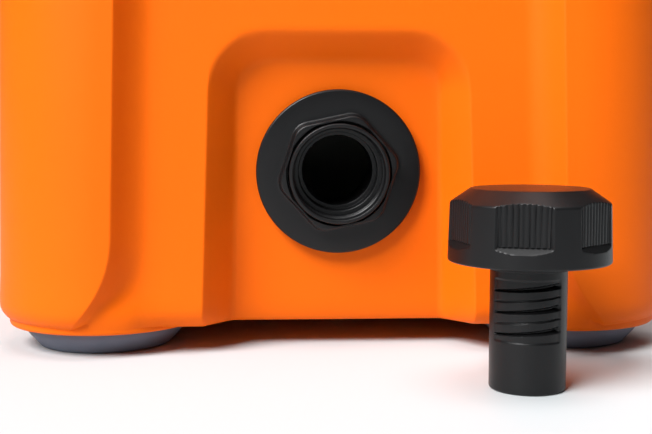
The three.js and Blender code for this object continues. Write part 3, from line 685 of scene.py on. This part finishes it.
def buildPlugCap():
    # The cap's outline turned round its axis, cut by six flats: the radius is the smaller of the outline's
    # and the flat's, flat distance over cosine, inside each grip. Upright ribs stand on the flats.
    c = cap
    profile = rounded([(0, c["low"]), (0.0150, c["low"]), (c["rim"], c["low"]), (c["shoulder"], c["top"] - c["chamfer"]),
                       (c["topRadius"], c["top"]), (0, c["top"])], [0, c["edge"], 0.0016, 0.0010], 10)
    side = (profile[:, 0] > c["topRadius"] - 0.0005) & (profile[:, 1] > c["low"] + 1e-5)
    first = int(np.argmax(side))
    last = len(profile) - int(np.argmax(side[::-1]))
    wall = profile[first:last]
    length = np.concatenate([[0], np.cumsum(np.hypot(*np.diff(wall, axis=0).T))])
    fine = np.unique(np.concatenate([length, np.linspace(0, length[-1], 84)]))
    wall = np.column_stack([np.interp(fine, length, wall[:, 0]), np.interp(fine, length, wall[:, 1])])
    profile = np.vstack([profile[:first], wall, profile[last:]])
    gripStep = tau / c["grips"]
    halfAngle = math.asin(c["gripHalf"] / c["rim"]) * 1.12
    inGrip = np.linspace(-halfAngle, halfAngle, 104)
    between = np.linspace(halfAngle, gripStep - halfAngle, 12)[1:-1]
    angle = np.concatenate([c["gripTurn"] + g * gripStep + np.concatenate([inGrip, between])
                            for g in range(c["grips"])])
    near = np.tile(np.concatenate([inGrip, between - gripStep * (between > gripStep / 2)]), c["grips"])
    r = np.repeat(profile[:, :1], len(angle), axis=1)
    z = profile[:, 1:] + 0 * angle
    across = r * np.sin(near)
    ledge = np.maximum(c["low"] + c["ledgeHigh"] - z, 0) * 1.15
    ribs = c["ribHeight"] * np.sqrt(np.abs(np.sin(math.pi * across / c["ribs"]))) * (ledge <= 0)
    ribFade = np.clip((c["gripHalf"] - 0.0004 - np.abs(across)) / 0.0005, 0, 1)
    flat = (c["flat"] + ledge + ribs * ribFade) / np.cos(near)
    wallShare = ramp((c["gripHalf"] + 0.0006 - np.abs(across)) / 0.0012, 0.3, 0.3)
    cut = np.minimum(flat, r)
    onSide = (z > c["low"] + c["edge"]) & (r > 0.020)
    radius = np.where(onSide, r + (cut - r) * wallShare, r)
    faces = closePoles(gridFaces(len(profile), len(angle)), len(profile), len(angle))
    addPiece("plug_cap_body", onPlug(aroundAxis(radius, angle, z)), faces, "plug", "black_plastic",
             ["plug_body"], 32)


stem = {"radius": 0.0163, "top": 0.0553, "bore": 0.0133, "boreDeep": 0.006, "foot": 0.0012, "pitch": 0.0092,
        "lowest": 0.0232, "highest": 0.0474, "windowHalf": math.radians(58), "facing": math.radians(-106),
        "deep": 0.0022, "shallow": 0.0005, "wide": 0.0008, "narrow": 0.00042, "phase": 0.17,
        "flatDepth": 0.0003, "flatLow": 0.0215, "flatHigh": 0.0485}


def buildPlugStem():
    # A turned stem with an interrupted two-start thread: a wide and a narrow groove climb one pitch a turn,
    # and the radius dips in a V across each, but only within two windows that face opposite ways. The wide
    # groove widens as it climbs through the window.
    s = stem
    lower = rounded([(0, s["boreDeep"]), (s["bore"], s["boreDeep"]), (s["bore"], 0), (s["radius"], 0),
                     (s["radius"], 0.006)], [0.001, 0.0005, s["foot"]], 12)
    threadZ = np.linspace(0.0190, 0.0510, 210)
    upper = rounded([(s["radius"], 0.0515), (s["radius"], s["top"]), (0, s["top"])], [0])
    profile = np.vstack([lower, np.column_stack([np.full(len(threadZ), s["radius"]), threadZ]), upper])
    segments = 216
    angle = np.linspace(0, tau, segments, endpoint=False)
    z = profile[:, 1:]
    facing = (angle - s["facing"] + math.pi / 2) % math.pi - math.pi / 2
    window = ramp((s["windowHalf"] - np.abs(facing)) / math.radians(6), 0.3, 0.3)
    along = np.clip(facing / s["windowHalf"], -1, 1) / 2 + 0.5
    turn = (angle - s["facing"] + math.pi) % tau - math.pi
    climb = z / s["pitch"] - turn / tau + s["phase"]
    wideAway = np.abs((climb + 0.5) % 1 - 0.5) * s["pitch"]
    narrowAway = np.abs(climb % 1 - 0.5) * s["pitch"]
    dip = s["deep"] * np.clip(1.25 - wideAway / (s["wide"] * (0.45 + 1.1 * along)), 0, 1)
    dip = np.maximum(dip, s["shallow"] * np.clip(1.25 - narrowAway / s["narrow"], 0, 1))
    inThread = np.clip((z - s["lowest"]) / 0.0008, 0, 1) * np.clip((s["highest"] - z) / 0.0008, 0, 1)
    onWall = profile[:, :1] > s["radius"] - 1e-5
    inFlat = np.clip((z - s["flatLow"]) / 0.0008, 0, 1) * np.clip((s["flatHigh"] - z) / 0.0008, 0, 1)
    radius = profile[:, :1] - (dip * inThread + s["flatDepth"] * inFlat) * window * onWall
    faces = closePoles(gridFaces(len(profile), segments), len(profile), segments)
    addPiece("plug_stem_body", onPlug(aroundAxis(radius, angle, z)), faces, "plug", "black_plastic",
             ["plug_body"], 40)


def buildPlugSeal():
    low, high = nodeBox("plug_gasket")
    hole = stem["radius"] + 0.0002
    outer = (high[0] - low[0]) / 2
    profile = rounded([(hole, low[2]), (outer, low[2]), (outer, high[2]), (hole, high[2]), (hole, low[2])],
                      [0.0012, 0.0006, 0.0], 20)
    points, faces = turnedGrid(profile[:-1], 96, closed=True)
    addPiece("plug_seal_ring", onPlug(points), faces, "plug", "black_rubber", ["plug_gasket"])


liner = {"half": tub["half"] - 0.052, "cornerRadius": 0.030, "floor": 0.046, "round": 0.008, "wall": 0.003,
         "mouthRound": 0.006, "bossRadius": 0.037, "bossRun": 0.0007, "bossPlace": -0.0254, "beadOut": 0.026,
         "beadHalf": 0.0065, "beadDepth": 0.0009}


def plainOutline(half, radius, step=0.008, cornerStep=0.004):
    # A round-cornered square outline with even steps.
    sides = [np.linspace(-1, 1, int(2 * (half - radius) / step) + 2)[:-1]] * 4
    angles = np.linspace(0, math.pi / 2, int(radius * math.pi / 2 / cornerStep) + 2)[:-1]
    return squareOutline(half, radius, sides, angles)


def stackRings(rings):
    # One closed-ended grid from rings of equal count: the first and last rings run in to their own middle
    # points.
    rings = [ring.mean(axis=0) + 0 * ring if k in (0, len(rings) - 1) else ring for k, ring in enumerate(rings)]
    points = np.stack(rings)
    rows, columns = points.shape[:2]
    return points.reshape(-1, 3), closePoles(gridFaces(rows, columns), rows, columns)


def buildTubLiner():
    # The cavity's wall from the middle of its floor up to its mouth, over a rounded edge and out along the
    # rim to the shell. Its offset from the cavity's outline is set for each row. The port's boss stands on
    # the front wall.
    n = liner
    window = 0.0385
    sides = stations((-1, -0.5, 0.08), (-0.5, 0.5, 0.025), (0.5, 1, 0.08))
    reach = n["half"] - n["cornerRadius"]
    front = np.unique(np.concatenate([sides, [-window / reach, window / reach]]))
    angles = np.linspace(0, math.pi / 2, 15)[:-1]
    plain = [np.linspace(-1, 1, 16)[:-1]] * 3
    places, normals, _, along = squareOutline(n["half"], n["cornerRadius"], [front] + plain, angles)
    turn = np.linspace(0, math.pi / 2, 9)
    roundZ = n["floor"] + n["round"] * (1 - np.cos(turn))
    roundOut = -n["round"] * (1 - np.sin(turn))
    rimZ = tub["top"] - 0.0004
    wallZ = stations((roundZ[-1], port["height"] + window, 0.004),
                     (port["height"] + window, rimZ - n["mouthRound"], 0.030))[1:]
    bend = np.linspace(0, math.pi / 2, 8)
    mouthZ = rimZ - n["mouthRound"] * (1 - np.sin(bend))
    mouthOut = n["mouthRound"] * (1 - np.cos(bend))
    rimHalf = tub["half"] * shrinkAt(tub["top"]) - tub["wall"] - 0.0006
    rimOut = np.linspace(n["mouthRound"], rimHalf - n["half"], 24)[1:]
    bead = np.clip(1.5 - 1.5 * np.abs(rimOut - n["beadOut"]) / n["beadHalf"], 0, 1)
    z = np.concatenate([roundZ, wallZ, mouthZ, rimZ - n["beadDepth"] * bead])
    out = np.concatenate([roundOut, 0 * wallZ, mouthOut, rimOut])
    rings = np.stack([np.column_stack([places + normals * o + tubCentre, np.full(len(places), h)])
                      for o, h in zip(out, z)])
    centre = np.array([*tubCentre, n["floor"]])
    floor = np.stack([centre + (rings[0] - centre) * share for share in (0, 0.4, 0.8)])
    points = np.concatenate([floor, rings])
    upright = z[:len(roundZ) + len(wallZ)]
    rowSpan = [len(floor) + nearest(upright, port["height"] + sign * window) for sign in (-1, 1)]
    columnSpan = [nearest(along[:len(front)], sign * window) for sign in (-1, 1)]
    radius, place, run = n["bossRadius"], n["bossPlace"], n["bossRun"]
    circles = [(radius, place + 0.004), (radius - run, place + 0.0006), (radius - 2 * run, place),
               (port["holeRadius"] + skinGap, place)]
    points, faces = withPortHole(points, rowSpan, columnSpan, circles)
    piece = addPiece("tub_liner_skin", points, faces[:, ::-1], "tub", "pale_plastic", ["tub_inner_liner"], 50)
    withThickness(piece, n["wall"] - 0.0006)


lid = {"half": (lidHigh[0] - lidLow[0]) / 2, "cornerRadius": 0.057, "bottom": lidLow[2], "top": lidHigh[2],
       "wall": 0.004, "topRound": 0.010, "pocketHalf": 0.042, "pocketTop": 0.474, "pocketDepth": 0.020,
       "pocketRun": 0.0016, "pocketRound": 0.004, "bandHigh": 0.0105, "bandDepth": 0.0012, "linerThick": 0.004,
       "plugGap": 0.006, "plugDrop": 0.012, "trayIn": 0.030, "trayRun": 0.006, "trayDepth": 0.0022}


def lidRing(outline, z, inset):
    # One ring of the lid's side. The latch pockets step in at front and back, and a shallow band runs round
    # its foot.
    places, normals, side, along = outline
    room = insideRound(lid["pocketHalf"] + lid["pocketRun"] - np.abs(along),
                       lid["pocketTop"] + lid["pocketRun"] - z, lid["pocketRound"])
    pocket = lid["pocketDepth"] * ramp(room / lid["pocketRun"], 0.2, 0.2) * (side % 2 == 0)
    band = lid["bandDepth"] * ramp((z - lid["bottom"] - lid["bandHigh"]) / 0.003, 0.4, 0.4)
    depth = np.maximum(pocket, band) + inset
    return np.column_stack([places - normals * depth[:, None] + tubCentre, np.full(len(places), z)])


def lidOutline(near, far, steps, plainCount, arcCount):
    # The lid's outline. Its front and back have close stations from near to far either side of the middle,
    # where the latch pockets' walls are. The steps are for outside, across and between those.
    reach = lid["half"] - lid["cornerRadius"]
    wide, close, middle = steps
    latchSide = stations((-reach, -far, wide), (-far, -near, close), (-near, near, middle),
                         (near, far, close), (far, reach, wide)) / reach
    plain = np.linspace(-1, 1, plainCount)[:-1]
    angles = np.linspace(0, math.pi / 2, arcCount)[:-1]
    return squareOutline(lid["half"], lid["cornerRadius"], [latchSide, plain, latchSide, plain], angles)


def buildLidShell():
    outline = lidOutline(0.039, 0.046, (0.010, 0.0006, 0.006), 22, 19)
    high = lid["top"] - lid["topRound"]
    lip = np.linspace(0, math.pi / 2, 4)[:-1]
    heights = stations((lid["bottom"] + 0.0012, 0.444, 0.003), (0.444, 0.452, 0.0009), (0.452, 0.470, 0.004),
                       (0.470, 0.4765, 0.0006), (0.4765, high, 0.003))
    turn = np.linspace(0, math.pi / 2, 11)[:-1]
    z = np.concatenate([lid["bottom"] + 0.0012 * (1 - np.cos(lip)), heights, high + lid["topRound"] * np.sin(turn)])
    inset = np.concatenate([0.0012 * (1 - np.sin(lip)), 0 * heights, lid["topRound"] * (1 - np.cos(turn))])
    side = np.stack([lidRing(outline, h, i) for h, i in zip(z, inset)])
    topIn = np.concatenate([stations((lid["topRound"], 0.028, 0.006), (0.028, 0.040, 0.001), (0.040, 0.150, 0.02)),
                            [lid["half"]]])
    centre = np.array([*tubCentre, 0])
    flat = side[-1] * [1, 1, 0]
    share = 1 - (topIn - lid["topRound"]) / (lid["half"] - lid["topRound"])
    dip = lid["trayDepth"] * ramp((topIn - lid["trayIn"]) / lid["trayRun"], 0.35, 0.35)
    top = np.stack([centre + (flat - centre) * f + [0, 0, lid["top"] - 0.0002 - d] for f, d in zip(share, dip)])
    points = np.concatenate([side, top])
    rows, columns = points.shape[:2]
    faces = closePoles(gridFaces(rows, columns), rows, columns, first=False)
    piece = addPiece("lid_shell_skin", points.reshape(-1, 3), faces, "lid", "orange_plastic",
                     ["lid_outer_shell"], 60)
    withThickness(piece, lid["wall"] - skinGap)


def buildLidLiner():
    # The lid's underside: a plate that fills the lid's foot, stepping down to a plug that drops into the tub,
    # with a shallow groove round its face.
    places, normals, side, along = lidOutline(0.043, 0.050, (0.012, 0.0012, 0.012), 20, 15)
    inset = lid["wall"] + skinGap
    notch = (lid["pocketDepth"] + 0.0002) * ramp((0.0473 - np.abs(along)) / 0.001, 0.3, 0.3) * (side % 2 == 0)

    def plateRing(extra, z):
        depth = np.maximum(inset + notch, 0) + extra
        return np.column_stack([places - normals * depth[:, None] + tubCentre, np.full(len(places), z)])

    plugHalf = liner["half"] - lid["plugGap"]
    plugRadius = liner["cornerRadius"] - lid["plugGap"]
    bearing = np.arctan2(places[:, 1], places[:, 0])
    flatX, flatY = np.abs(np.cos(bearing)), np.abs(np.sin(bearing))
    straight = plugHalf / np.maximum(flatX, flatY)
    corner = plugHalf - plugRadius
    along45 = corner * (flatX + flatY)
    arc = along45 + np.sqrt(np.maximum(plugRadius ** 2 - (corner * (flatX - flatY)) ** 2, 0))
    inCorner = np.minimum(flatX, flatY) * straight > corner
    reachOut = np.where(inCorner, arc, straight)

    def plugRing(extra, z):
        ring = np.column_stack([np.cos(bearing), np.sin(bearing)]) * (reachOut - extra)[:, None]
        return np.column_stack([ring + tubCentre, np.full(len(ring), z)])

    low = lid["bottom"] + 0.0002
    high = lid["bottom"] + lid["linerThick"] - 0.0001
    drop = lid["bottom"] - lid["plugDrop"] + 0.0002
    rings = [plugRing(0, drop), plugRing(0.100, drop), plugRing(0.060, drop), plugRing(0.022, drop),
             plugRing(0.018, drop + 0.0014), plugRing(0.012, drop + 0.0014), plugRing(0.008, drop),
             plugRing(0.0022, drop), plugRing(0.0006, drop + 0.0006), plugRing(0, drop + 0.0022),
             plugRing(0, low - 0.0012), plugRing(-0.0012, low), plateRing(0.0006, low), plateRing(0, low + 0.0006),
             plateRing(0, high - 0.0004), plateRing(0.0004, high), plateRing(0.002, high), plateRing(0.06, high),
             plateRing(0.06, high)]
    addPiece("lid_liner_plate", *stackRings(rings), "lid", "pale_plastic", ["lid_inner_liner"], 40)


def buildLidSeal():
    # The lid's seal: a section with two lips above and two below, carried round the outline.
    low, high = nodeBox("lid_gasket")
    half = (high[0] - low[0]) / 2
    width = 0.009
    section = rounded([(0, low[2]), (0, high[2]), (-0.0020, high[2]), (-0.0028, high[2] - 0.0009),
                       (-width + 0.0028, high[2] - 0.0009), (-width + 0.0020, high[2]), (-width, high[2]),
                       (-width, low[2]), (-width + 0.0025, low[2]), (-width / 2, low[2] + 0.0012),
                       (-0.0025, low[2]), (0, low[2])],
                      [0.0006, 0.0003, 0.0003, 0.0003, 0.0003, 0.0006, 0.0006, 0.0004, 0.0005, 0.0004], 20)[:-1]
    radius = liner["cornerRadius"] + half - liner["half"]
    places, normals, _, _ = plainOutline(half, radius)
    points = np.stack([np.column_stack([places + normals * o + tubCentre, np.full(len(places), z)])
                       for o, z in section])
    rows, columns = points.shape[:2]
    addPiece("lid_seal_ring", points.reshape(-1, 3), gridFaces(rows, columns, wrapRows=True), "lid",
             "black_rubber", ["lid_gasket"], 40)


latch = {"strapHalf": 0.022, "barHalf": 0.038, "strapThick": 0.0055, "barThick": 0.007, "eye": 0.0085,
         "pinRadius": 0.004, "barLow": -0.084, "barHigh": -0.070, "top": -0.003, "shoulder": 0.010,
         "ribs": 0.0028, "ribHeight": 0.0005, "edge": 0.0012}


def buildLatch(side, end):
    # An eye turned about the pin, and a tongue: a rounded rectangle carried down from the eye whose half
    # width and thickness change with height. It flares into the pull bar, which has finger ribs across its
    # outer face.
    t = latch
    pinLow, pinHigh = nodeBox("latch_pin_" + end)
    pin = (pinLow + pinHigh) / 2
    eye = rounded([(t["pinRadius"] + 0.0003, -t["strapHalf"]), (t["eye"], -t["strapHalf"]),
                   (t["eye"], t["strapHalf"]), (t["pinRadius"] + 0.0003, t["strapHalf"]),
                   (t["pinRadius"] + 0.0003, -t["strapHalf"])], [t["edge"], t["edge"], 0], 18)[:-1]
    eyePoints, eyeFaces = turnedGrid(eye, 72, closed=True)
    eyePoints = eyePoints[:, [2, 0, 1]]
    z = np.concatenate([[t["top"]], stations((t["top"] - 0.0006, t["barHigh"] + t["shoulder"], 0.004),
                                             (t["barHigh"] + t["shoulder"], t["barLow"] + 0.0012, 0.0004)),
                        [t["barLow"] + 0.0012, t["barLow"] + 0.0004, t["barLow"]]])
    flare = ramp((t["barHigh"] + t["shoulder"] - z) / t["shoulder"], 0.5, 0.5)
    ends = np.clip(np.minimum(t["top"] - z, z - t["barLow"]) / t["edge"], 0, 1)
    pull = t["edge"] * (1 - np.sqrt(1 - (1 - ends) ** 2))
    half = t["strapHalf"] + (t["barHalf"] - t["strapHalf"]) * flare - pull
    inBar = flare > 0.98
    thick = t["strapThick"] + (t["barThick"] - t["strapThick"]) * flare - pull
    rib = t["ribHeight"] * np.abs(np.sin(math.pi * (z - t["barLow"]) / t["ribs"])) * inBar * (ends >= 1)
    groove = 0.0010 * (~inBar) * (np.abs(z + 0.040) < 0.022)
    around = np.linspace(0, tau, 64, endpoint=False)
    c, s = np.cos(around), np.sin(around)
    cornered = 8
    x = np.sign(c) * np.abs(c) ** (2 / cornered)
    y = np.sign(s) * np.abs(s) ** (2 / cornered)
    inner = -t["eye"] + t["strapThick"]
    outside = y < 0
    middle = np.abs(x) < 0.62
    offset = inner - thick[:, None] * (1 - y) / 2
    offset = offset + rib[:, None] * outside + groove[:, None] * (outside & middle)
    grid = np.stack([half[:, None] * x, offset, z[:, None] + 0 * x], axis=-1)
    points, faces = stackRings([grid[0]] + list(grid) + [grid[-1]])
    points, faces = joinGrids([(eyePoints, eyeFaces), (points, faces[:, ::-1])])
    addPiece("rubber_latch_" + end, points * [-side, -side, 1] + pin, faces, end + "_latch", "black_rubber",
             ["latch_" + end], 40)
    radius, reach = t["pinRadius"] - 0.0001, (pinHigh[0] - pinLow[0]) / 2
    rod = rounded([(0, -reach), (radius, -reach), (radius, reach), (0, reach)], [0.0006, 0.0006], 30)
    rodPoints, rodFaces = turnedGrid(rod, 56)
    addPiece("steel_pin_" + end, rodPoints[:, [2, 0, 1]] + pin, rodFaces, "lid", "steel",
             ["latch_pin_" + end], 30)


buildTubSkin()
buildFeet()
buildTubLiner()
print("tub outside done")
buildPortNut()
buildPortTube()
buildPortGaskets()
buildPlugCap()
buildPlugStem()
buildPlugSeal()
print("port and plug done")
buildLidShell()
buildLidLiner()
buildLidSeal()
buildLatch(-1, "front")
buildLatch(1, "back")
print("lid and latches done")

for name, node in frame["nodes"].items():
    slotName = next(s["material_slot"] for s in frame["record"]["subparts"] if s["node"] == name)
    for materialSlot in node.material_slots:
        materialSlot.material = materials[slotName]

# Camera, floor and light.
view = {"place": (-0.0325, port["y"] - 0.526, 0.113), "pitch": math.radians(-5.1), "heading": math.radians(2.9),
        "lens": 58.4, "sensor": 36, "clip": 0.01}
floorLook = {"reach": 6.0, "colour": (0.60, 0.635, 0.65, 1), "roughness": 0.6}


def addCamera():
    data = bpy.data.cameras.new("camera")
    data.lens = view["lens"]
    data.sensor_width = view["sensor"]
    data.clip_start = view["clip"]
    camera = bpy.data.objects.new("camera", data)
    camera.location = view["place"]
    camera.rotation_euler = (math.pi / 2 + view["pitch"], 0, -view["heading"])
    bpy.context.scene.collection.objects.link(camera)
    bpy.context.scene.camera = camera


def addFloor():
    mesh = bpy.data.meshes.new("studio_floor")
    r = floorLook["reach"]
    mesh.from_pydata([(-r, -r, 0), (r, -r, 0), (r, r, 0), (-r, r, 0)], [], [(0, 1, 2, 3)])
    floor = bpy.data.objects.new("studio_floor", mesh)
    bpy.context.scene.collection.objects.link(floor)
    material = bpy.data.materials.new("studio_floor")
    material.use_nodes = True
    shader = next(n for n in material.node_tree.nodes if n.type == "BSDF_PRINCIPLED")
    shader.inputs["Base Color"].default_value = floorLook["colour"]
    shader.inputs["Roughness"].default_value = floorLook["roughness"]
    mesh.materials.append(material)


# Two suns, with their spread in degrees, and one soft box overhead. Power is in W/m2 for a sun, in W for the box.
lamps = {
    "key": {"kind": "SUN", "place": (-1.06, -1.06, 1.50), "aim": (0.0, 0.0, 0.0), "spread": 30, "power": 5.2},
    "back": {"kind": "SUN", "place": (0.2, 1.4, 1.3), "aim": (0.0, 0.0, 0.1), "spread": 40, "power": 0.6},
    "top": {"kind": "AREA", "place": (0.1, -0.40, 1.9), "aim": (0, -0.2, 0.0), "size": (1.2, 0.8), "power": 17},
}
world = {"ambient": 0.04, "backdrop": 0.92}


def addLight():
    for name, lamp in lamps.items():
        data = bpy.data.lights.new(name, lamp["kind"])
        if lamp["kind"] == "SUN":
            data.angle = math.radians(lamp["spread"])
        else:
            data.shape = "RECTANGLE"
            data.size, data.size_y = lamp["size"]
        data.energy = lamp["power"]
        light = bpy.data.objects.new(name, data)
        light.location = lamp["place"]
        direction = Vector(lamp["aim"]) - Vector(lamp["place"])
        light.rotation_euler = direction.to_track_quat("-Z", "Y").to_euler()
        bpy.context.scene.collection.objects.link(light)


def addWorld():
    # A pale backdrop, with only a little of its light reaching the object.
    studio = bpy.data.worlds.new("studio")
    studio.use_nodes = True
    tree = studio.node_tree
    background = next(n for n in tree.nodes if n.type == "BACKGROUND")
    seen = tree.nodes.new("ShaderNodeLightPath").outputs["Is Camera Ray"]
    extra = mathNode(tree, "MULTIPLY", seen, world["backdrop"] - world["ambient"])
    background.inputs["Color"].default_value = (1, 1, 1, 1)
    tree.links.new(mathNode(tree, "ADD", extra, world["ambient"]), background.inputs["Strength"])
    bpy.context.scene.world = studio


addCamera()
addFloor()
addLight()
addWorld()
bpy.context.scene.view_settings.view_transform = "Standard"
print("camera, floor and light set")
